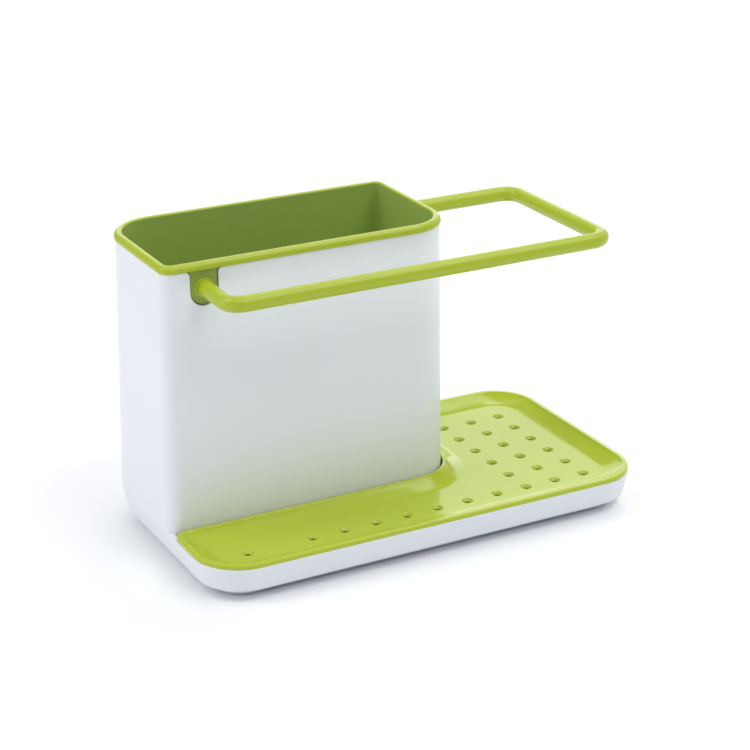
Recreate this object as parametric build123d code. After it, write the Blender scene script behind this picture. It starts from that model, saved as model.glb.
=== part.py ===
from build123d import *
import os

# A sink caddy: a white moulding with a low tub and a tall housing, a green pot that hangs in the
# housing, a green rail for a dish cloth that plugs into the pot, and a green L-shaped drip tray.
# Millimetres, +Z up, +X along the long side, +Y towards the back, the origin on the worktop under
# the middle of the base.

# Base: the tub that everything stands in
base_length = 205.0
base_depth = 112.0
base_corner_radius = 21.0
strip_depth = 42.1  # how far the tub runs on in front of the housing
field_length = 70.5  # how far it runs on beside the housing
base_taper = 2.2  # how far the side leans in from its top to its underside
tub_side_height = 10.4
tub_wall = 2.2
tub_edge_round = 0.6
tub_heel_round = 0.7
plinth_height = 3.8
plinth_inset = 6.0  # from the tub's underside in to the plinth
plinth_wall = 2.0
floor_thickness = 2.2

# Feet: four rubber pads glued into shallow seats under the plinth
foot_diameter = 12.0
foot_drop = 1.2  # how far a pad stands below the plinth
foot_seat_depth = 0.8
foot_seat_gap = 0.1
foot_margin = 9.5  # from the plinth's side to the middle of a pad
foot_edge_chamfer = 0.4

# Housing: the tall part of the white moulding, flush with the tub at the left and at the back
housing_height = 110.7  # above the tub's edge
housing_draft = 1.7  # each wall stands this much further out at its bottom than at its top
housing_wall = 1.4  # at the top edge
housing_front_left_radius = 5.2  # this one and the next three at the top edge
housing_front_right_radius = 18.7
housing_back_right_radius = 4.2
housing_back_left_radius = 20.6
weep_width = 12.0
weep_height = 3.0
weeps_in_front = 4
weeps_at_right = 2

# Pot: the green liner, hung by its rim on the housing's top edge
pot_gap = 0.3
pot_wall = 1.2
pot_draft = 1.4  # each wall stands this much further in at the pot's floor
pot_corner_least = 2.6  # no upright corner of the pot is sharper, inside or outside
pot_stand = 7.2  # how high the pot's floor hangs above the ledge of the tub
pot_floor = 2.0
pot_floor_round = 2.0
pot_floor_inner_round = 1.6
rim_overhang = 0.5
rim_height = 3.2
rim_outer_round = 2.3
rim_inner_round = 0.9
rim_under_round = 0.7
drain_diameter = 6.0
drains_along = 4
drains_across = 2
drain_from_end = 28.3  # from the housing's two ends to the middle of the nearest drain
drain_from_side = 22.0  # from the housing's front and back to the middle of the nearest drain

# Tabs: the pot's two tongues that carry the rail, each in a notch of the housing wall
tab_width = 11.6
tab_drop = 14.3  # from the housing's top edge down to the tab's tip
tab_setback = 0.5  # behind the housing's outer face
tab_edge_round = 0.4
front_tab_from_left = 19.0  # from the base's left side to the tab's middle
right_tab_from_back = 17.5  # from the base's back side to the tab's middle
notch_gap = 0.35
notch_mouth_round = 1.8  # at the top edge, where the tab flares out to meet it

# Rail: a round rod in one level plane
rail_diameter = 6.6
rail_below_edge = 7.2  # from the housing's top edge down to the rod's middle
rail_reach = 24.8  # from the front tab's face to the front run's middle
rail_from_right = 12.9  # from the base's right side to the end run's middle
rail_elbow_radius = 6.2
rail_front_corner_radius = 7.4
rail_back_corner_radius = 7.4
rail_flare = 0.7  # how much the root swells where it meets the tab
peg_diameter = 4.6
peg_length = 1.7

# Tray: the green L-shaped dish that lies on the tub's edge
tray_edge_gap = 0.5  # from the tub's side in to the tray's lip
tray_lip_height = 1.9
tray_lip_width = 2.0
tray_wall_lip_width = 1.4
tray_lip_round = 0.7
tray_drop = 3.7  # from the lip's top down to the dish's floor
tray_slope_run = 9.0
tray_thickness = 1.8
tray_skirt_gap = 0.5
tray_wall_gap = 0.3  # to the housing's walls
tray_corner_relief = 1.3  # how much smaller the tray's inner corner radius is than a parallel one
tray_end_radius = 5.5
hole_rows = 6
grid_columns = 3  # the columns beside the housing that have all their rows
plain_columns = (11,)  # columns of the front row that have no hole
hole_diameter = 2.8
hole_mouth_diameter = 5.0
hole_mouth_depth = 1.1
last_hole_from_right = 21.6  # from the base's right side
first_hole_least = 20.0  # no hole is nearer to the base's left side
grid_from_housing = 19.7  # from the housing to the nearest column of holes
front_row_from_front = 17.9  # from the base's front side
back_row_from_back = 23.6  # from the base's back side
tray_rib_width = 1.4
tray_rib_height = 2.4

# Shares of the dish's run and drop where its slope is drawn, from the lip to the floor
slope_run_shares = (0.0, 0.20, 0.55, 0.88, 1.0)
slope_drop_shares = (0.0, 0.34, 0.72, 0.97, 1.0)
# Share of a small end radius that is left at the floor of the dish
end_radius_share = 0.45

overrun = 5.0  # how far a cut runs past the face it opens
level_tolerance_share = 0.001  # of the overrun, within which an edge counts as lying at a height

# Heights above the worktop
plinth_bottom = foot_drop
tub_bottom = plinth_bottom + plinth_height
tub_edge = tub_bottom + tub_side_height
ledge_level = tub_bottom + floor_thickness
floor_level = plinth_bottom + floor_thickness
housing_top = tub_edge + housing_height
pot_bottom = ledge_level + pot_stand
rail_level = housing_top - rail_below_edge
tray_lip_top = tub_edge + tray_lip_height
tray_floor = tray_lip_top - tray_drop
tray_underside = tray_floor - tray_thickness

# Sides of the base and of the housing, seen from above
base_right = base_length / 2
base_left = -base_right
base_back = base_depth / 2
base_front = -base_back
housing_right = base_right - field_length
housing_front = base_front + strip_depth
housing_length = housing_right - base_left
housing_depth = base_back - housing_front
housing_middle_x = (base_left + housing_right) / 2
housing_middle_y = (housing_front + base_back) / 2

# Places of the tabs and of the rail
front_tab_x = base_left + front_tab_from_left
right_tab_y = base_back - right_tab_from_back
housing_top_front = housing_front + housing_draft
housing_top_right = housing_right - housing_draft
tab_face_front = housing_top_front + tab_setback
tab_face_right = housing_top_right - tab_setback
rail_front_y = tab_face_front - rail_reach
rail_right_x = base_right - rail_from_right

# The tray's rows of holes
first_hole_x = base_right - last_hole_from_right
front_row_y = base_front + front_row_from_front
hole_pitch_x = (field_length - grid_from_housing - last_hole_from_right) / (grid_columns - 1)
hole_pitch_y = (base_depth - front_row_from_front - back_row_from_back) / (hole_rows - 1)
hole_columns = int((base_length - last_hole_from_right - first_hole_least) / hole_pitch_x) + 1


def rounded_sheet(corners, radii, level):
    """A flat sheet through the corners, each rounded by its own radius, at a height."""
    sheet = make_face(Polyline(*corners, close=True))
    for (x, y), radius in zip(corners, radii):
        nearest = sheet.vertices().sort_by_distance((x, y))[0]
        sheet = fillet(nearest, radius)
    return Pos(0, 0, level) * sheet


def box_corners(left, right, front, back):
    """The four corners of a rectangle, from the front left one round to the back left one."""
    return [(left, front), (right, front), (right, back), (left, back)]


def base_sheet(inset, level):
    """The base's outline, drawn in by an inset."""
    corners = box_corners(base_left + inset, base_right - inset, base_front + inset, base_back - inset)
    return rounded_sheet(corners, [base_corner_radius - inset] * 4, level)


def housing_sheet(inset, level, back_left_radius, least_radius):
    """The housing's outline, drawn in by an inset from its foot, no corner sharper than least_radius."""
    corners = box_corners(base_left + inset, housing_right - inset, housing_front + inset, base_back - inset)
    from_top = inset - housing_draft
    radii = [
        housing_front_left_radius - from_top,
        housing_front_right_radius - from_top,
        housing_back_right_radius - from_top,
        back_left_radius,
    ]
    return rounded_sheet(corners, [max(radius, least_radius) for radius in radii], level)


def housing_foot_sheet(inset, level):
    """The housing's outline at its foot, where its back left corner is the base's own."""
    return housing_sheet(inset, level, base_corner_radius - inset, housing_wall)


def housing_top_sheet(inset, level):
    """The housing's outline at its top edge, drawn in by an inset from there."""
    return housing_sheet(housing_draft + inset, level, housing_back_left_radius - inset, housing_wall)


def tray_sheet(inset, wall_inset, end_radius, level):
    """The L-shaped outline of the tray: inset from the base's side, wall_inset from the housing's walls."""
    left = base_left + inset
    right = base_right - inset
    front = base_front + inset
    back = base_back - inset
    inner_x = housing_right + wall_inset
    inner_y = housing_front - wall_inset
    corners = [(left, front), (right, front), (right, back), (inner_x, back), (inner_x, inner_y), (left, inner_y)]
    outer_radius = base_corner_radius - inset
    inner_radius = housing_front_right_radius + housing_draft + wall_inset - tray_corner_relief
    radii = [outer_radius, outer_radius, outer_radius, end_radius, inner_radius, end_radius]
    return rounded_sheet(corners, radii, level)


def prism(sheet, height):
    """A straight block that stands on a sheet."""
    return extrude(sheet, height, dir=(0, 0, 1))


def edges_at(part, level):
    """The edges of a part that lie flat at a height."""
    tolerance = overrun * level_tolerance_share
    return part.edges().filter_by_position(Axis.Z, level - tolerance, level + tolerance)


def tongue_sketch(width, top, tip):
    """A tongue seen face on, straight at the top and with a full round at its tip."""
    radius = width / 2
    straight = Pos(0, (top + tip + radius) / 2) * Rectangle(width, top - tip - radius)
    return straight + Pos(0, tip + radius) * Circle(radius)


def tab_sketch(gap):
    """A tab seen face on, flared where it meets the rim, or with a gap round it the notch that it hangs in."""
    half = tab_width / 2 + gap
    tongue = tongue_sketch(2 * half, housing_top, housing_top - tab_drop - gap)
    flare_x = tab_width / 2 + notch_gap + notch_mouth_round
    flare_level = housing_top - notch_mouth_round
    tongue += Pos(0, housing_top - notch_mouth_round / 2) * Rectangle(2 * flare_x, notch_mouth_round)
    for x in (-flare_x, flare_x):
        tongue -= Pos(x, flare_level) * Circle(flare_x - half)
    return tongue


def front_plane(y):
    """The upright plane at y through the front tab, facing the front."""
    return Plane(origin=(front_tab_x, y, 0), x_dir=(1, 0, 0), z_dir=(0, -1, 0))


def right_plane(x):
    """The upright plane at x through the right tab, facing the right."""
    return Plane(origin=(x, right_tab_y, 0), x_dir=(0, 1, 0), z_dir=(1, 0, 0))


def foot_places():
    """The middles of the four pads."""
    inset = base_taper + plinth_inset + foot_margin
    x = base_right - inset
    y = base_back - inset
    return [("front_left", -x, -y), ("front_right", x, -y), ("back_left", -x, y), ("back_right", x, y)]


def tub_shell():
    """The tub and its plinth as a full block, leaning in towards the underside."""
    side = loft([base_sheet(base_taper, tub_bottom), base_sheet(0, tub_edge)], ruled=True)
    side = fillet(edges_at(side, tub_bottom), tub_heel_round)
    side = fillet(edges_at(side, tub_edge), tub_edge_round)
    plinth = prism(base_sheet(base_taper + plinth_inset, plinth_bottom), plinth_height + floor_thickness)
    return side + plinth


def housing_shell():
    """The housing as a full block, each wall leaning in towards the top, its foot let into the tub's side."""
    foot_inset = base_taper * tub_edge_round / tub_side_height
    let_in = housing_foot_sheet(foot_inset, tub_edge - tub_edge_round)
    return loft([let_in, housing_foot_sheet(0, tub_edge), housing_top_sheet(0, housing_top)], ruled=True)


def notch_cut(plane):
    """The slot through a housing wall that a tab hangs in, open at the top edge with a rounded mouth."""
    return extrude(plane * tab_sketch(notch_gap), housing_draft + housing_wall + pot_gap, both=True)


def weep_slots():
    """Low slots through the housing's inner walls, through which the pot's drips reach the tub."""
    reach = housing_draft + housing_wall + overrun
    slots = []
    for place in range(weeps_in_front):
        x = base_left + (place + 1) * housing_length / (weeps_in_front + 1)
        slots.append(Pos(x, housing_front, floor_level + weep_height / 2) * Box(weep_width, 2 * reach, weep_height))
    for place in range(weeps_at_right):
        y = housing_front + (place + 1) * housing_depth / (weeps_at_right + 1)
        slots.append(Pos(housing_right, y, floor_level + weep_height / 2) * Box(2 * reach, weep_width, weep_height))
    return slots


def caddy_body():
    """The white moulding: tub, plinth and housing in one."""
    body = tub_shell() + housing_shell()
    tub_inside = base_sheet(tub_wall, tub_bottom) - housing_foot_sheet(0, tub_bottom)
    body -= Pos(0, 0, floor_thickness) * prism(tub_inside, tub_side_height + overrun)

    well = housing_top_sheet(housing_wall, 0)
    plinth_inside = base_sheet(base_taper + plinth_inset + plinth_wall, 0)
    inner_wall = housing_foot_sheet(0, 0) - well
    lower_inside = plinth_inside - inner_wall
    body -= Pos(0, 0, floor_level) * prism(lower_inside, ledge_level - floor_level)
    body -= Pos(0, 0, ledge_level) * prism(well, housing_top - ledge_level + overrun)

    body -= notch_cut(front_plane(housing_top_front))
    body -= notch_cut(right_plane(housing_top_right))
    for slot in weep_slots():
        body -= slot
    seat = Cylinder(foot_diameter / 2 + foot_seat_gap, foot_seat_depth, align=(Align.CENTER, Align.CENTER, Align.MIN))
    for _, x, y in foot_places():
        body -= Pos(x, y, plinth_bottom) * seat
    return body


def foot(x, y):
    """One rubber pad with a bevelled lower edge."""
    height = foot_drop + foot_seat_depth
    pad = Cylinder(foot_diameter / 2, height, align=(Align.CENTER, Align.CENTER, Align.MIN))
    pad = chamfer(edges_at(pad, 0), foot_edge_chamfer)
    return Pos(x, y, 0) * pad


def pot_sheet(inset, level):
    """The pot's outer outline under the rim, drawn in by an inset."""
    from_top = housing_wall + pot_gap + inset
    back_left = housing_back_left_radius - from_top
    return housing_sheet(housing_draft + from_top, level, back_left, pot_corner_least)


def pot_tab(plane, face_depth):
    """A tongue that fills the notch from the pot's wall out to face_depth, measured along the plane."""
    reach = face_depth + pot_wall + pot_draft
    tab = extrude(plane * tab_sketch(0), -reach)
    face_edges = tab.faces().sort_by(Axis((0, 0, 0), plane.z_dir))[-1].edges()
    lower_edges = [e for e in face_edges if e.center().Z < housing_top - tab_edge_round]
    return fillet(lower_edges, tab_edge_round)


def drain_holes():
    """The holes in the pot's floor."""
    pitch_x = (housing_length - 2 * drain_from_end) / (drains_along - 1)
    pitch_y = (housing_depth - 2 * drain_from_side) / (drains_across - 1)
    hole = Pos(housing_middle_x, housing_middle_y, pot_bottom) * Cylinder(drain_diameter / 2, 2 * overrun)
    return [place * hole for place in GridLocations(pitch_x, pitch_y, drains_along, drains_across)]


def brush_pot():
    """The green liner with its rolled rim and the two tabs for the rail."""
    outside = loft([pot_sheet(pot_draft, pot_bottom), pot_sheet(0, housing_top)], ruled=True)
    outside = fillet(edges_at(outside, pot_bottom), pot_floor_round)
    inside_bottom = pot_bottom + pot_floor
    inside = loft([pot_sheet(pot_draft + pot_wall, inside_bottom), pot_sheet(pot_wall, housing_top)], ruled=True)
    inside = fillet(edges_at(inside, inside_bottom), pot_floor_inner_round)

    rim = prism(housing_top_sheet(-rim_overhang, housing_top), rim_height)
    rim = fillet(edges_at(rim, housing_top), rim_under_round)
    rim = fillet(edges_at(rim, housing_top + rim_height), rim_outer_round)
    rim -= prism(pot_sheet(pot_wall, housing_top), rim_height)
    rim_top = rim.faces().sort_by(Axis.Z)[-1]
    rim = fillet(rim_top.inner_wires()[0].edges(), rim_inner_round)

    depth = housing_wall + pot_gap
    pot = outside
    pot += pot_tab(front_plane(tab_face_front), depth)
    pot += pot_tab(right_plane(tab_face_right), depth)
    pot -= inside
    pot += rim
    for hole in drain_holes():
        pot -= hole
    socket = Cylinder(peg_diameter / 2, peg_length, align=(Align.CENTER, Align.CENTER, Align.MAX))
    pot -= front_plane(tab_face_front) * Pos(0, rail_level) * socket
    pot -= right_plane(tab_face_right) * Pos(0, rail_level) * socket
    return pot


def rail_root(plane):
    """The end of the rail at a tab: a peg, then a soft flare out of the tab's face."""
    radius = rail_diameter / 2
    wide = radius + rail_flare
    outline = Polyline((0, -peg_length), (peg_diameter / 2, -peg_length), (peg_diameter / 2, 0), (wide, 0))
    outline += RadiusArc((wide, 0), (radius, rail_flare), rail_flare)
    outline += Polyline((radius, rail_flare), (0, rail_flare), (0, -peg_length))
    spun = revolve(Plane.XZ * make_face(outline), Axis.Z)
    return plane * Pos(0, rail_level) * spun


def rail_path():
    """The middle line of the rod, from the front tab round to the right tab."""
    points = [
        (front_tab_x, tab_face_front, rail_level),
        (front_tab_x, rail_front_y, rail_level),
        (rail_right_x, rail_front_y, rail_level),
        (rail_right_x, right_tab_y, rail_level),
        (tab_face_right, right_tab_y, rail_level),
    ]
    radii = [rail_elbow_radius, rail_front_corner_radius, rail_back_corner_radius]
    return FilletPolyline(*points, radius=radii)


def cloth_rail():
    """The rod that a dish cloth hangs on, with a peg at each end."""
    section = front_plane(tab_face_front) * Pos(0, rail_level) * Circle(rail_diameter / 2)
    rod = sweep(section, path=rail_path())
    return rod + rail_root(front_plane(tab_face_front)) + rail_root(right_plane(tab_face_right))


def hole_places():
    """The middles of the tray's holes, counted in columns from the right and rows from the front."""
    places = []
    for column in range(hole_columns):
        rows = hole_rows if column < grid_columns else 1
        if column + 1 in plain_columns:
            continue
        for row in range(rows):
            places.append((first_hole_x - column * hole_pitch_x, front_row_y + row * hole_pitch_y))
    return places


def tray_hole():
    """One drip hole: a straight bore under a countersunk mouth, whose cone runs on above the floor."""
    bore = Cylinder(hole_diameter / 2, 2 * overrun)
    mouth = Cone(hole_diameter / 2, hole_mouth_diameter - hole_diameter / 2, 2 * hole_mouth_depth)
    return Pos(0, 0, tray_floor) * (bore + mouth)


def dish(inset, wall_inset, top, drop):
    """The block between the dish's mouth and its floor, with a slope that eases into the floor."""
    sheets = []
    for run_share, drop_share in zip(slope_run_shares, slope_drop_shares):
        run = tray_slope_run * run_share
        end_radius = tray_end_radius * (1 - (1 - end_radius_share) * run_share)
        sheets.append(tray_sheet(inset + run, wall_inset + run, end_radius, top - drop * drop_share))
    return loft(sheets)


def tray_ribs():
    """Ribs under the dish: one between each two columns of the grid, and one along the front strip."""
    ribs = []
    bottom = tray_underside - tray_rib_height
    height = tray_rib_height + tray_thickness / 2
    grid_depth = (hole_rows - 1) * hole_pitch_y
    for column in range(grid_columns - 1):
        x = first_hole_x - (column + 0.5) * hole_pitch_x
        box = Box(tray_rib_width, grid_depth, height, align=(Align.CENTER, Align.MIN, Align.MIN))
        ribs.append(Pos(x, front_row_y, bottom) * box)
    span = (hole_columns - 1) * hole_pitch_x
    box = Box(span, tray_rib_width, height, align=(Align.MAX, Align.CENTER, Align.MIN))
    ribs.append(Pos(first_hole_x, front_row_y + hole_pitch_y / 2, bottom) * box)
    return ribs


def drip_tray():
    """The green dish with its flat lip, easing slopes, drip holes and ribs."""
    lip_outer = tray_sheet(tray_edge_gap, tray_wall_gap, tray_end_radius, tub_edge)
    lip = prism(lip_outer, tray_lip_height)
    lip = fillet(edges_at(lip, tray_lip_top), tray_lip_round)
    skirt = tub_wall + tray_skirt_gap
    lip_inset = tray_edge_gap + tray_lip_width
    wall_inset = tray_wall_gap + tray_wall_lip_width
    below = dish(skirt, tray_wall_gap + tray_skirt_gap, tub_edge, tub_edge - tray_underside)
    tray = lip + below
    tray -= dish(lip_inset, wall_inset, tray_lip_top, tray_drop)
    for rib in tray_ribs():
        tray += rib
    hole = tray_hole()
    for x, y in hole_places():
        tray -= Pos(x, y) * hole
    return tray


def main():
    """Builds each piece and writes it."""
    os.makedirs("parts", exist_ok=True)
    pieces = {
        "caddy_body": caddy_body(),
        "brush_pot": brush_pot(),
        "cloth_rail": cloth_rail(),
        "drip_tray": drip_tray(),
    }
    for name, x, y in foot_places():
        pieces["foot_" + name] = foot(x, y)
    for name, piece in pieces.items():
        export_step(piece, os.path.join("parts", name + ".step"))
        print(name, len(piece.solids()), round(piece.volume))


main()
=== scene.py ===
import logging
import math
from dataclasses import dataclass
from enum import Enum
from typing import Any

import bmesh
import bpy
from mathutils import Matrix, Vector


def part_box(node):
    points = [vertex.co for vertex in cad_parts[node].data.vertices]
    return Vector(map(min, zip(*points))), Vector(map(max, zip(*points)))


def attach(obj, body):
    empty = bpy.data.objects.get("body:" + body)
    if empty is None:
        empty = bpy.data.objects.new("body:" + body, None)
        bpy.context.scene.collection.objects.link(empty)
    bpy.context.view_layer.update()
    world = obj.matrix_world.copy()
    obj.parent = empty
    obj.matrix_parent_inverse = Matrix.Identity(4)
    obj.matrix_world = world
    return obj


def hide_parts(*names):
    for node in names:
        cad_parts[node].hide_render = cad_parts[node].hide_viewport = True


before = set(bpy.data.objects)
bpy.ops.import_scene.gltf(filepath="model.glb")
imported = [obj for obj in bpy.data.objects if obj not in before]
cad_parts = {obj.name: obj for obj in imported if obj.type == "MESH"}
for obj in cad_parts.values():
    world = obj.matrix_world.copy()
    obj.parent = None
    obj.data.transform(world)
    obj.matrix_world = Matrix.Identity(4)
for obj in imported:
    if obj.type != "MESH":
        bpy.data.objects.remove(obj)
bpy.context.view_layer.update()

LOG = logging.getLogger("sink_caddy")
MM = 0.001


class Body(str, Enum):
    """The bodies of the frame that pieces ride on."""

    BASE = "base"
    POT = "pot"
    TRAY = "tray"


class Slot(str, Enum):
    """The record's material slots."""

    WHITE = "white_moulding"
    GREEN = "green_moulding"
    RUBBER = "foot_rubber"


def linear_from_hex(colour: str) -> tuple[float, float, float, float]:
    """Turns an sRGB hex colour into a linear one.

    Args:
        colour: Six hex digits after a hash mark.

    Returns:
        Red, green, blue and an alpha of one.
    """
    parts = [int(colour[i : i + 2], 16) / 255 for i in (1, 3, 5)]
    linear = [c / 12.92 if c <= 0.04045 else ((c + 0.055) / 1.055) ** 2.4 for c in parts]
    return (*linear, 1.0)


def add_node(
    tree: bpy.types.NodeTree, kind: str, inputs: dict | None = None, **settings: Any
) -> bpy.types.Node:
    """Adds one node with its settings, input values and links.

    Args:
        tree: The node tree that gets the node.
        kind: The node's type name.
        inputs: Socket names or numbers to a value, or to an output socket to link from.
        settings: Properties of the node itself.

    Returns:
        The new node.
    """
    node = tree.nodes.new(kind)
    for name, value in settings.items():
        setattr(node, name, value)
    for key, value in (inputs or {}).items():
        if isinstance(value, bpy.types.NodeSocket):
            tree.links.new(value, node.inputs[key])
        else:
            node.inputs[key].default_value = value
    return node


@dataclass(frozen=True)
class MouldedPlastic:
    """An injection-moulded plastic as it leaves its mould.

    The skin's gloss changes a little from place to place, the melt's flow clouds the colour, and
    shrinkage leaves long shallow waves that bend the reflections.
    """

    name: str
    colour: str
    flow_colour: str
    roughness: float
    glow: float
    glow_depth_mm: float
    sheen_spread: float = 0.03
    sheen_mm: float = 15.0
    flow_mm: float = 60.0
    wave_mm: float = 30.0
    wave_height_mm: float = 0.03
    refraction: float = 1.49
    glow_reach: tuple[float, float, float] = (1.0, 0.9, 0.5)
    noise_middle: tuple[float, float] = (0.3, 0.7)

    def material(self) -> bpy.types.Material:
        """Returns the finish's material, made on first use."""
        if self.name in bpy.data.materials:
            return bpy.data.materials[self.name]
        material = bpy.data.materials.new(self.name)
        material.use_nodes = True
        tree = material.node_tree
        tree.nodes.clear()
        place = add_node(tree, "ShaderNodeTexCoord").outputs["Object"]
        flow, sheen, wave = (
            add_node(
                tree, "ShaderNodeTexNoise", {"Vector": place, "Scale": 1 / (lump_mm * MM), "Detail": 0.0}
            ).outputs["Fac"]
            for lump_mm in (self.flow_mm, self.sheen_mm, self.wave_mm)
        )
        colour = add_node(
            tree,
            "ShaderNodeMix",
            {
                "Factor": flow,
                "A": linear_from_hex(self.colour),
                "B": linear_from_hex(self.flow_colour),
            },
            data_type="RGBA",
        )
        gloss = add_node(
            tree,
            "ShaderNodeMapRange",
            {
                "Value": sheen,
                "From Min": self.noise_middle[0],
                "From Max": self.noise_middle[1],
                "To Min": self.roughness - self.sheen_spread,
                "To Max": self.roughness + self.sheen_spread,
            },
        )
        skin = add_node(tree, "ShaderNodeBump", {"Height": wave, "Distance": self.wave_height_mm * MM})
        shader = add_node(
            tree,
            "ShaderNodeBsdfPrincipled",
            {
                "Base Color": colour.outputs["Result"],
                "Roughness": gloss.outputs["Result"],
                "IOR": self.refraction,
                "Subsurface Weight": self.glow,
                "Subsurface Scale": self.glow_depth_mm * MM,
                "Subsurface Radius": self.glow_reach,
                "Normal": skin.outputs["Normal"],
            },
        )
        add_node(tree, "ShaderNodeOutputMaterial", {"Surface": shader.outputs["BSDF"]})
        return material


# Polypropylene, moulded, white: a faintly cool white whose satin skin blurs what it reflects.
WHITE_PLASTIC = MouldedPlastic(
    "white_moulded_polypropylene", "#EBEEF3", "#E8ECF1", roughness=0.32, glow=0.06, glow_depth_mm=1.2
)
# ABS, moulded in a polished cavity, apple green: a clear yellow green that mirrors light at a low angle.
GREEN_PLASTIC = MouldedPlastic(
    "green_moulded_abs", "#B7C62C", "#B3C329", roughness=0.14, glow=0.10, glow_depth_mm=1.5
)
# The same ABS where hands lift it, on the rod and the rim: a satin skin with broad, soft highlights; its
# green, a touch darker than the polished one, is painted shade.
GREEN_SATIN = MouldedPlastic(
    "green_moulded_abs_satin", "#B2C22B", "#AEBE29", roughness=0.32, glow=0.10, glow_depth_mm=1.5
)
# The same ABS inside the pot, matt with no mirror in it: its paler, greyer green is painted haze and light,
# standing in for the light that fills the pot.
GREEN_MATT_PAINTED_HAZE = MouldedPlastic(
    "green_moulded_abs_matt_painted_haze", "#A6BE5C", "#A2BA58", roughness=0.55, glow=0.05, glow_depth_mm=1.2
)
# The same ABS outside the pot below the rim, rougher: its darker green is painted shade, for the shade under
# the rim and on the tabs turned away from the lights.
GREEN_ROUGH_PAINTED_SHADE = MouldedPlastic(
    "green_moulded_abs_rough_painted_shade", "#8FA445", "#8BA041", roughness=0.5, glow=0.05, glow_depth_mm=1.2
)
# Thermoplastic rubber, moulded: a pale grey that takes hardly any gloss.
PAD_RUBBER = MouldedPlastic(
    "pad_thermoplastic_rubber", "#C9CBCC", "#BFC1C3", roughness=0.62, glow=0.10, glow_depth_mm=1.0
)
# The pot's finishes: the bead, the inside in painted haze, the outside below the rim in painted shade.
POT_FINISHES = (GREEN_SATIN, GREEN_MATT_PAINTED_HAZE, GREEN_ROUGH_PAINTED_SHADE)


def carry(piece: bpy.types.Object, body: Body, slot: Slot, *nodes: str) -> None:
    """Ties a finished piece to the frame.

    Args:
        piece: The piece, in place and in its material.
        body: The body that it rides on.
        slot: The record's slot that its finish stands for; not used.
        nodes: The nodes that it stands for.
    """
    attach(piece, body.value)
    if nodes:
        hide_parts(*nodes)
    LOG.info("%s rides on %s with %d faces", piece.name, body.value, len(piece.data.polygons))


def new_piece(name: str, mesh: bpy.types.Mesh) -> bpy.types.Object:
    """Puts a mesh into the scene as a piece at the origin."""
    piece = bpy.data.objects.new(name, mesh)
    bpy.context.scene.collection.objects.link(piece)
    return piece


def baked(piece: bpy.types.Object) -> bpy.types.Object:
    """Turns a piece's modifiers into plain mesh.

    Args:
        piece: The piece with its modifiers.

    Returns:
        The same piece with the evaluated mesh and no modifiers.
    """
    graph = bpy.context.evaluated_depsgraph_get()
    graph.update()
    mesh = bpy.data.meshes.new_from_object(piece.evaluated_get(graph), depsgraph=graph)
    old = piece.data
    piece.modifiers.clear()
    piece.data = mesh
    mesh.name = piece.name
    bpy.data.meshes.remove(old)
    return piece


def creased(mesh: bpy.types.Mesh, weld_mm: float = 0.002, crease_degrees: float = 28.0) -> bmesh.types.BMesh:
    """Welds a mesh and marks its edges smooth or sharp by how far they turn.

    Args:
        mesh: The mesh to read.
        weld_mm: Vertices nearer than this become one.
        crease_degrees: An edge that turns further stays sharp.

    Returns:
        The welded mesh, still to be written back.
    """
    solid = bmesh.new()
    solid.from_mesh(mesh)
    bmesh.ops.remove_doubles(solid, verts=solid.verts, dist=weld_mm * MM)
    bmesh.ops.dissolve_degenerate(solid, edges=solid.edges, dist=weld_mm * MM)
    for face in solid.faces:
        face.smooth = True
    for edge in solid.edges:
        edge.smooth = edge.is_manifold and edge.calc_face_angle(0.0) < math.radians(crease_degrees)
    return solid


def weighed(piece: bpy.types.Object) -> bpy.types.Object:
    """Weighs a piece's normals by face area, so that flats stay flat beside their rounds."""
    piece.modifiers.new("weigh", "WEIGHTED_NORMAL").keep_sharp = True
    return baked(piece)


@dataclass
class Moulding:
    """A moulded piece whose shape is the frame's own, smoothed where its faces turn gently."""

    node: str
    name: str
    body: Body
    slot: Slot
    finishes: tuple[MouldedPlastic, ...]

    def build(self) -> bpy.types.Object:
        """Welds and creases a copy of the node and gives each face its finish.

        Returns:
            The finished piece.
        """
        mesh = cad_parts[self.node].data.copy()
        solid = creased(mesh)
        for face in solid.faces:
            face.material_index = self.finish_of(face)
        mesh.materials.clear()
        for finish in self.finishes:
            mesh.materials.append(finish.material())
        solid.to_mesh(mesh)
        solid.free()
        piece = weighed(new_piece(self.name, mesh))
        carry(piece, self.body, self.slot, self.node)
        return piece

    def finish_of(self, face: bmesh.types.BMFace) -> int:
        """Returns which of the finishes a face gets."""
        return 0


@dataclass
class BrushPot(Moulding):
    """The green pot: a satin bead round its rim, a matt inside in a greyer green that is painted haze, and
    tabs and outside in a darker green that is painted shade.
    """

    rim_mm: float = 3.3
    shell_mm: float = 3.0
    steep_slope: float = 0.4
    level_slope: float = 0.5

    def __post_init__(self) -> None:
        """Reads the pot's box once, for all its faces."""
        self.lo, self.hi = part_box(self.node)

    def finish_of(self, face: bmesh.types.BMFace) -> int:
        """Tells the rim's bead, the inside and the outside apart.

        Args:
            face: A face of the pot.

        Returns:
            0 for a face of the bead, 1 for one that looks into the pot, 2 for one outside below the rim.
        """
        at, normal = face.calc_center_median(), face.normal
        lo, hi, shell = self.lo, self.hi, self.shell_mm * MM
        within = lo.x + shell < at.x < hi.x - shell and lo.y + shell < at.y < hi.y - shell
        looks_in = (at.xy - (lo.xy + hi.xy) / 2).dot(normal.xy) < 0 or normal.z > self.level_slope
        in_rim = at.z > hi.z - self.rim_mm * MM
        # Faces that look into the pot get painted haze; faces outside below the rim get painted shade.
        if within and looks_in and not (in_rim and abs(normal.z) > self.steep_slope):
            return 1
        return 0 if in_rim else 2


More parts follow.
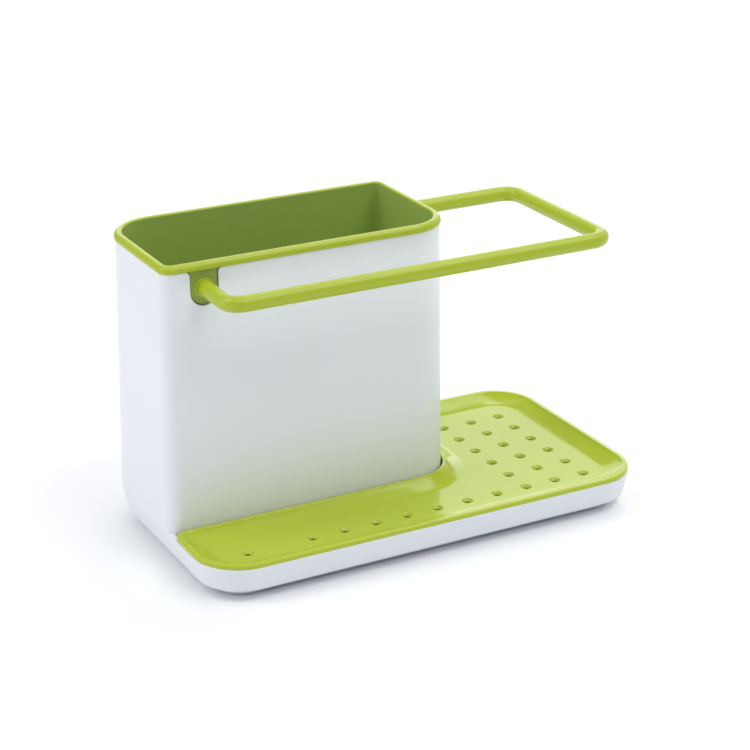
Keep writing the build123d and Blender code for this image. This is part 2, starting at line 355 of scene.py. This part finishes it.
class ShapeTree:
    """A Geometry Nodes tree with named sizes, which ends in real mesh in one finish."""

    def __init__(self, name: str, sizes: dict[str, float | int]) -> None:
        """Makes the tree and its inputs.

        Args:
            name: The tree's name.
            sizes: Each input's name and value, whole numbers for counts and metres for lengths.
        """
        self.tree = bpy.data.node_groups.new(name, "GeometryNodeTree")
        self.tree.interface.new_socket("Geometry", in_out="INPUT", socket_type="NodeSocketGeometry")
        self.tree.interface.new_socket("Geometry", in_out="OUTPUT", socket_type="NodeSocketGeometry")
        self.sizes = sizes
        for size, value in sizes.items():
            kind = "NodeSocketInt" if isinstance(value, int) else "NodeSocketFloat"
            self.tree.interface.new_socket(size, in_out="INPUT", socket_type=kind)
        self.given = add_node(self.tree, "NodeGroupInput").outputs

    def add(self, kind: str, inputs: dict | None = None, **settings: Any) -> bpy.types.Node:
        """Adds a geometry node by the end of its type name."""
        return add_node(self.tree, "GeometryNode" + kind, inputs, **settings)

    def end(self, shape: bpy.types.NodeSocket, finish: MouldedPlastic) -> None:
        """Ends the tree in real, smooth mesh with its finish.

        Args:
            shape: The geometry to end with.
            finish: The finish that all of it gets.
        """
        real = self.add("RealizeInstances", {"Geometry": shape})
        smooth = self.add("SetShadeSmooth", {"Geometry": real.outputs["Geometry"]})
        coat = {"Geometry": smooth.outputs["Geometry"], "Material": finish.material()}
        dressed = self.add("SetMaterial", coat)
        add_node(self.tree, "NodeGroupOutput", {"Geometry": dressed.outputs["Geometry"]})

    def grow(self, piece: bpy.types.Object) -> bpy.types.Object:
        """Runs the tree on a piece and keeps the result as its plain mesh.

        Args:
            piece: The piece whose mesh holds the tree's points.

        Returns:
            The same piece, welded and closed, with its faces outwards.
        """
        modifier = piece.modifiers.new("grow", "NODES")
        modifier.node_group = self.tree
        for item in self.tree.interface.items_tree:
            if item.in_out == "INPUT" and item.name in self.sizes:
                modifier[item.identifier] = self.sizes[item.name]
        baked(piece)
        solid = creased(piece.data)
        bmesh.ops.recalc_face_normals(solid, faces=solid.faces)
        solid.to_mesh(piece.data)
        solid.free()
        return weighed(piece)


@dataclass
class ClothRail:
    """The rod for a dish cloth, swept along its bent path, with a soft flare at each root."""

    node: str = "cloth_rail"
    rod_mm: float = 6.6
    peg_mm: float = 4.5
    peg_length_mm: float = 1.6
    shoulder_mm: float = 0.01
    elbow_mm: float = 6.2
    corner_mm: float = 7.4
    front_face_mm: float = -11.7
    right_face_mm: float = 29.8
    flare_steps: int = 6
    bend_steps: int = 16
    rod_steps: int = 48

    def build(self) -> bpy.types.Object:
        """Sweeps the rod.

        Returns:
            The finished rail.
        """
        sizes = {"Rod Radius": self._rod(), "Rod Steps": self.rod_steps, "Bend Steps": self.bend_steps}
        tree = ShapeTree("swept_rail", sizes)
        given = tree.given
        bend, swell = (
            tree.add("InputNamedAttribute", {"Name": name}, data_type="FLOAT").outputs["Attribute"]
            for name in ("bend", "swell")
        )
        line = tree.add("MeshToCurve", {"Mesh": given["Geometry"]})
        bends = {"Curve": line.outputs["Curve"], "Count": given["Bend Steps"], "Radius": bend}
        bent = tree.add("FilletCurve", bends, mode="POLY")
        circle = {"Resolution": given["Rod Steps"], "Radius": given["Rod Radius"]}
        section = tree.add("CurvePrimitiveCircle", circle)
        rod = tree.add(
            "CurveToMesh",
            {
                "Curve": bent.outputs["Curve"],
                "Profile Curve": section.outputs["Curve"],
                "Scale": swell,
                "Fill Caps": True,
            },
        )
        tree.end(rod.outputs["Mesh"], GREEN_SATIN)
        rail = tree.grow(new_piece("green_rail", self._line()))
        carry(rail, Body.POT, Slot.GREEN, self.node)
        return rail

    def _rod(self) -> float:
        """Returns the rod's radius in metres."""
        return self.rod_mm * MM / 2

    def _root(self, flare: float) -> list[tuple[float, float]]:
        """Lists the root's rings, from the peg's end out to the plain rod.

        Args:
            flare: How much the root's radius swells, in metres, which is also how far the swell runs.

        Returns:
            The distance from the tab's face and the swell of each ring.
        """
        rod = self._rod()
        peg = self.peg_mm / self.rod_mm
        rings = [(-self.peg_length_mm * MM, peg), (-self.shoulder_mm * MM, peg)]
        for step in range(self.flare_steps + 1):
            turn = math.pi / 2 * step / self.flare_steps
            rings.append((flare * (1 - math.cos(turn)), 1 + flare / rod * (1 - math.sin(turn))))
        return rings

    def _line(self) -> bpy.types.Mesh:
        """Draws the rod's middle line from the front tab round to the right tab.

        Returns:
            A mesh of points and edges; each point carries its bend radius and its swell.
        """
        lo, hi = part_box(self.node)
        rod, root = self._rod(), (hi.z - lo.z) / 2
        level = (lo.z + hi.z) / 2
        rings = self._root(root - rod)
        left, front, right, back = lo.x + root, lo.y + rod, hi.x - rod, hi.y - root
        elbow, corner = self.elbow_mm * MM, self.corner_mm * MM
        marks = [(left, self.front_face_mm * MM - away, 0.0, swell) for away, swell in rings]
        marks += [(left, front, elbow, 1.0), (right, front, corner, 1.0), (right, back, corner, 1.0)]
        marks += [(self.right_face_mm * MM + away, back, 0.0, swell) for away, swell in reversed(rings)]
        mesh = bpy.data.meshes.new("rail_line")
        edges = [(i, i + 1) for i in range(len(marks) - 1)]
        mesh.from_pydata([(x, y, level) for x, y, _, _ in marks], edges, [])
        for name, values in (("bend", [m[2] for m in marks]), ("swell", [m[3] for m in marks])):
            mesh.attributes.new(name, "FLOAT", "POINT").data.foreach_set("value", values)
        return mesh


@dataclass
class Pads:
    """The four rubber pads: one bevelled disc with its gate dimple, repeated at the four seats."""

    bevel_mm: float = 0.4
    dimple_mm: float = 1.8
    dimple_depth_mm: float = 0.3
    dimple_taper: float = 0.7
    sides: int = 48

    def build(self) -> bpy.types.Object:
        """Repeats the disc at the middles of the frame's four pads.

        Returns:
            The finished pads, in one piece.
        """
        nodes = [node for node in sorted(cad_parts) if node.startswith("foot_")]
        boxes = [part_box(node) for node in nodes]
        tree = ShapeTree("repeated_pads", self._sizes(*boxes[0]))
        given = tree.given
        circle = {"Vertices": given["Sides"], "Radius": given["Radius"]}
        top = tree.add("MeshCircle", circle, fill_type="NGON")
        disc = tree.add("FlipFaces", {"Mesh": top.outputs["Mesh"]}).outputs["Mesh"]
        face = None
        for part in ("Wall", "Bevel", "Sole", "Dimple"):
            disc, face = self._step(tree, disc, face, given[part + " Drop"], given[part + " Scale"])
        closed = tree.add("JoinGeometry", {"Geometry": disc})
        tree.tree.links.new(top.outputs["Mesh"], closed.inputs["Geometry"])
        seated = {"Points": given["Geometry"], "Instance": closed.outputs["Geometry"]}
        placed = tree.add("InstanceOnPoints", seated)
        tree.end(placed.outputs["Instances"], PAD_RUBBER)
        seats = bpy.data.meshes.new("pad_seats")
        seats.from_pydata([((a.x + b.x) / 2, (a.y + b.y) / 2, b.z) for a, b in boxes], [], [])
        pads = tree.grow(new_piece("rubber_pads", seats))
        carry(pads, Body.BASE, Slot.RUBBER, *nodes)
        return pads

    def _sizes(self, lo: Vector, hi: Vector) -> dict[str, float | int]:
        """Works out the tree's inputs: each part's drop, and its width at the end as a share of its start.

        Args:
            lo: The low corner of one pad's box.
            hi: Its high corner.

        Returns:
            Each input's name and value.
        """
        radius, bevel, dimple = (hi.x - lo.x) / 2, self.bevel_mm * MM, self.dimple_mm * MM / 2
        return {
            "Sides": self.sides,
            "Radius": radius,
            "Wall Drop": hi.z - lo.z - bevel,
            "Wall Scale": 1.0,
            "Bevel Drop": bevel,
            "Bevel Scale": (radius - bevel) / radius,
            "Sole Drop": 0.0,
            "Sole Scale": dimple / (radius - bevel),
            "Dimple Drop": -self.dimple_depth_mm * MM,
            "Dimple Scale": self.dimple_taper,
        }

    @staticmethod
    def _step(
        tree: ShapeTree,
        shape: bpy.types.NodeSocket,
        face: bpy.types.NodeSocket | None,
        drop: bpy.types.NodeSocket,
        scale: bpy.types.NodeSocket,
    ) -> tuple[bpy.types.NodeSocket, bpy.types.NodeSocket]:
        """Draws the pad's lowest face down and in by one step.

        Args:
            tree: The pads' tree.
            shape: The pad so far.
            face: Picks the lowest face, or none where the pad has no other.
            drop: How far the face goes down, in metres.
            scale: How wide it then is, as a share.

        Returns:
            The pad and what picks its new lowest face.
        """
        inputs = {"Mesh": shape, "Offset": (0.0, 0.0, -1.0), "Offset Scale": drop, "Individual": False}
        drawn = tree.add("ExtrudeMesh", inputs | ({"Selection": face} if face else {}), mode="FACES")
        lowest = drawn.outputs["Top"]
        inputs = {"Geometry": drawn.outputs["Mesh"], "Selection": lowest, "Scale": scale}
        return tree.add("ScaleElements", inputs, domain="FACE").outputs["Geometry"], lowest


@dataclass
class EjectorMarks:
    """The witness rings that the mould's ejector pins leave under the white moulding."""

    across_mm: float = 144.0
    deep_mm: float = 52.0
    columns: int = 5
    rows: int = 3
    pin_mm: float = 8.0
    line_mm: float = 0.36
    level_mm: float = 1.2
    pin_steps: int = 40
    line_steps: int = 8

    def build(self) -> bpy.types.Object:
        """Repeats one ring on a grid under the plinth.

        Returns:
            The finished rings, in one piece.
        """
        sizes = {
            "Across": self.across_mm * MM,
            "Deep": self.deep_mm * MM,
            "Columns": self.columns,
            "Rows": self.rows,
            "Pin Radius": self.pin_mm * MM / 2,
            "Line Radius": self.line_mm * MM / 2,
            "Pin Steps": self.pin_steps,
            "Line Steps": self.line_steps,
        }
        tree = ShapeTree("ejector_rings", sizes)
        given = tree.given
        spread = {"Size X": given["Across"], "Size Y": given["Deep"]}
        counts = {"Vertices X": given["Columns"], "Vertices Y": given["Rows"]}
        grid = tree.add("MeshGrid", spread | counts)
        lift = (0.0, 0.0, self.level_mm * MM)
        level = tree.add("Transform", {"Geometry": grid.outputs["Mesh"], "Translation": lift})
        pin, line = (
            tree.add(
                "CurvePrimitiveCircle",
                {"Resolution": given[part + " Steps"], "Radius": given[part + " Radius"]},
            ).outputs["Curve"]
            for part in ("Pin", "Line")
        )
        ring = tree.add("CurveToMesh", {"Curve": pin, "Profile Curve": line})
        repeated = {"Points": level.outputs["Geometry"], "Instance": ring.outputs["Mesh"]}
        placed = tree.add("InstanceOnPoints", repeated)
        tree.end(placed.outputs["Instances"], WHITE_PLASTIC)
        rings = tree.grow(new_piece("ejector_marks", bpy.data.meshes.new("ejector_marks")))
        carry(rings, Body.BASE, Slot.WHITE)
        return rings


@dataclass(frozen=True)
class Softbox:
    """A rectangular softbox: its place, what it faces, its size in metres and how bright it looks."""

    name: str
    place: tuple[float, float, float]
    aim: tuple[float, float, float]
    size: tuple[float, float]
    radiance: float

    def hang(self) -> None:
        """Hangs the softbox; a radiance of one looks white."""
        light = bpy.data.lights.new(self.name, "AREA")
        light.shape = "RECTANGLE"
        light.size, light.size_y = self.size
        light.energy = self.radiance * math.pi * self.size[0] * self.size[1]
        lamp = bpy.data.objects.new(self.name, light)
        lamp.location = self.place
        lamp.rotation_euler = (Vector(self.aim) - Vector(self.place)).to_track_quat("-Z", "Y").to_euler()
        bpy.context.scene.collection.objects.link(lamp)


SOFTBOXES = (
    # What the dish of the tray mirrors, low behind it
    Softbox("back_softbox", (1.1, 2.0, 0.75), (0.0, 0.0, 0.1), (2.0, 1.5), 1.6),
    # The bright lines along the top of the rod and the rim
    Softbox("rim_softbox", (0.4, 1.2, 1.9), (0.0, 0.0, 0.05), (1.4, 0.5), 0.9),
    Softbox("key_softbox", (1.0, 0.3, 1.85), (0.0, 0.0, 0.05), (1.9, 0.5), 2.8),
    # The bright left end of the housing, and less from the right
    Softbox("top_left_softbox", (-1.2, 0.3, 1.7), (0.0, 0.0, 0.05), (1.0, 1.0), 3.3),
    Softbox("left_softbox", (-1.9, 0.5, 0.6), (0.0, 0.0, 0.1), (1.2, 1.0), 1.6),
    Softbox("right_softbox", (1.9, 0.4, 0.7), (0.0, 0.0, 0.1), (1.4, 1.0), 0.7),
    # The even grey of the front wall
    Softbox("front_softbox", (-0.2, -1.0, 2.2), (0.0, -0.1, 0.0), (1.6, 1.2), 1.2),
    Softbox("front_right_softbox", (0.7, -1.1, 2.1), (0.0, -0.1, 0.05), (1.4, 1.2), 2.9),
)


@dataclass
class Studio:
    """The pale floor, the soft lights and the camera at the photograph's angle."""

    floor_half: float = 6.0
    camera_place: tuple[float, float, float] = (-0.3828, -0.7074, 0.3886)
    azimuth_degrees: float = 28.34
    elevation_degrees: float = 22.13
    lens_mm: float = 98.34
    sensor_mm: float = 36.0
    sky_colour: str = "#F4F8FF"
    sky: float = 0.355
    floor_colour: str = "#FEFEFE"
    floor_roughness: float = 0.9

    def build(self) -> None:
        """Makes the whole studio."""
        self._floor()
        self._sky()
        for softbox in SOFTBOXES:
            softbox.hang()
        self._camera()

    def _floor(self) -> None:
        """Lays the floor in matt white paint, which takes soft shadows and mirrors nothing."""
        half = self.floor_half
        mesh = bpy.data.meshes.new("floor")
        corners = [(-half, -half, 0), (half, -half, 0), (half, half, 0), (-half, half, 0)]
        mesh.from_pydata(corners, [], [(0, 1, 2, 3)])
        floor = new_piece("floor", mesh)
        material = bpy.data.materials.new("painted_floor")
        material.use_nodes = True
        shader = material.node_tree.nodes["Principled BSDF"]
        shader.inputs["Base Color"].default_value = linear_from_hex(self.floor_colour)
        shader.inputs["Roughness"].default_value = self.floor_roughness
        mesh.materials.append(material)

    def _sky(self) -> None:
        """Fills the room with a weak even light."""
        world = bpy.data.worlds.new("studio_air")
        bpy.context.scene.world = world
        world.use_nodes = True
        background = world.node_tree.nodes["Background"]
        background.inputs["Color"].default_value = linear_from_hex(self.sky_colour)
        background.inputs["Strength"].default_value = self.sky

    def _camera(self) -> None:
        """Sets up the camera at the photograph's angle."""
        lens = bpy.data.cameras.new("camera")
        lens.lens = self.lens_mm
        lens.sensor_width = self.sensor_mm
        camera = bpy.data.objects.new("camera", lens)
        azimuth = math.radians(self.azimuth_degrees)
        elevation = math.radians(self.elevation_degrees)
        level = math.cos(elevation)
        ahead = Vector((math.sin(azimuth) * level, math.cos(azimuth) * level, -math.sin(elevation)))
        camera.location = self.camera_place
        camera.rotation_euler = ahead.to_track_quat("-Z", "Y").to_euler()
        bpy.context.scene.collection.objects.link(camera)
        bpy.context.scene.camera = camera
        bpy.context.scene.view_settings.view_transform = "Standard"


def main() -> None:
    """Builds the studio and each piece of the caddy."""
    logging.basicConfig(level=logging.INFO, format="%(name)s: %(message)s")
    Studio().build()
    Moulding("caddy_body", "white_body", Body.BASE, Slot.WHITE, (WHITE_PLASTIC,)).build()
    BrushPot("brush_pot", "green_pot", Body.POT, Slot.GREEN, POT_FINISHES).build()
    ClothRail().build()
    Moulding("drip_tray", "green_tray", Body.TRAY, Slot.GREEN, (GREEN_PLASTIC,)).build()
    Pads().build()
    EjectorMarks().build()


if __name__ == "__main__":
    main()
